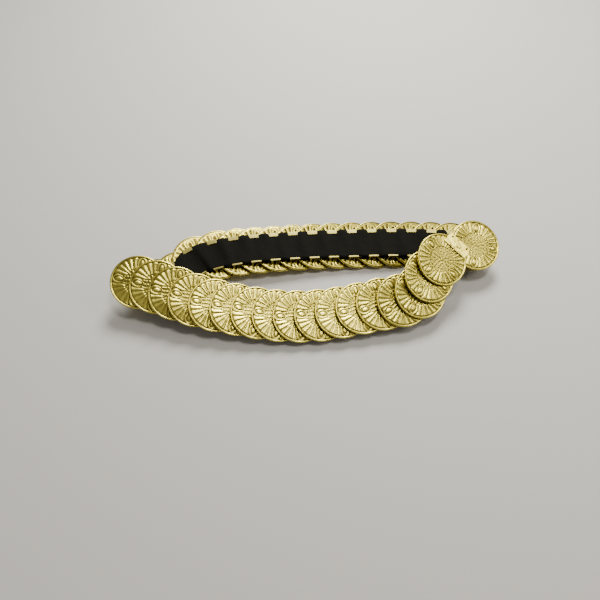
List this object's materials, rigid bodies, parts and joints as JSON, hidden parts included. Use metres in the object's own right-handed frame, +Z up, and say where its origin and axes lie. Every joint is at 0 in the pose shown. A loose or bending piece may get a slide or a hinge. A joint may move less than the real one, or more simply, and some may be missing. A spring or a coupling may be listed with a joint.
{
  "type": "stretch coin belt",
  "caption": "Stretch belt of overlapping stamped gilt discs on a black elastic band, hooked shut and laid in a long closed loop.",
  "frame": {"origin": "middle of the footprint, on the surface the belt lies on", "axes": "+X along the long closed loop towards the clasp end, +Y away from the strand that shows its outer faces, +Z up"},
  "size_m": [0.3738, 0.1334, 0.0439],
  "materials": {
    "gilt_disc": "stamped relief, bright plating",
    "gilt_clasp": "smooth bright plating",
    "black_elastic": "matt woven elastic"
  },
  "bodies": {
    "root": {"disc_01": "gilt_disc", "disc_02": "gilt_disc", "disc_03": "gilt_disc", "disc_04": "gilt_disc", "disc_05": "gilt_disc", "disc_06": "gilt_disc", "disc_07": "gilt_disc", "disc_08": "gilt_disc", "disc_09": "gilt_disc", "disc_10": "gilt_disc", "disc_11": "gilt_disc", "disc_12": "gilt_disc", "disc_13": "gilt_disc", "disc_14": "gilt_disc", "disc_15": "gilt_disc", "disc_16": "gilt_disc", "disc_17": "gilt_disc", "disc_18": "gilt_disc", "disc_19": "gilt_disc", "disc_20": "gilt_disc", "disc_21": "gilt_disc", "disc_22": "gilt_disc", "disc_23": "gilt_disc", "disc_24": "gilt_disc", "disc_25": "gilt_disc", "disc_26": "gilt_disc", "disc_27": "gilt_disc", "disc_28": "gilt_disc", "disc_29": "gilt_disc", "disc_30": "gilt_disc", "disc_31": "gilt_disc", "disc_32": "gilt_disc", "disc_33": "gilt_disc", "disc_34": "gilt_disc", "disc_35": "gilt_disc", "elastic_band": "black_elastic", "clasp_plate": "gilt_clasp", "clasp_catch": "gilt_clasp"}
  },
  "joints": []
}
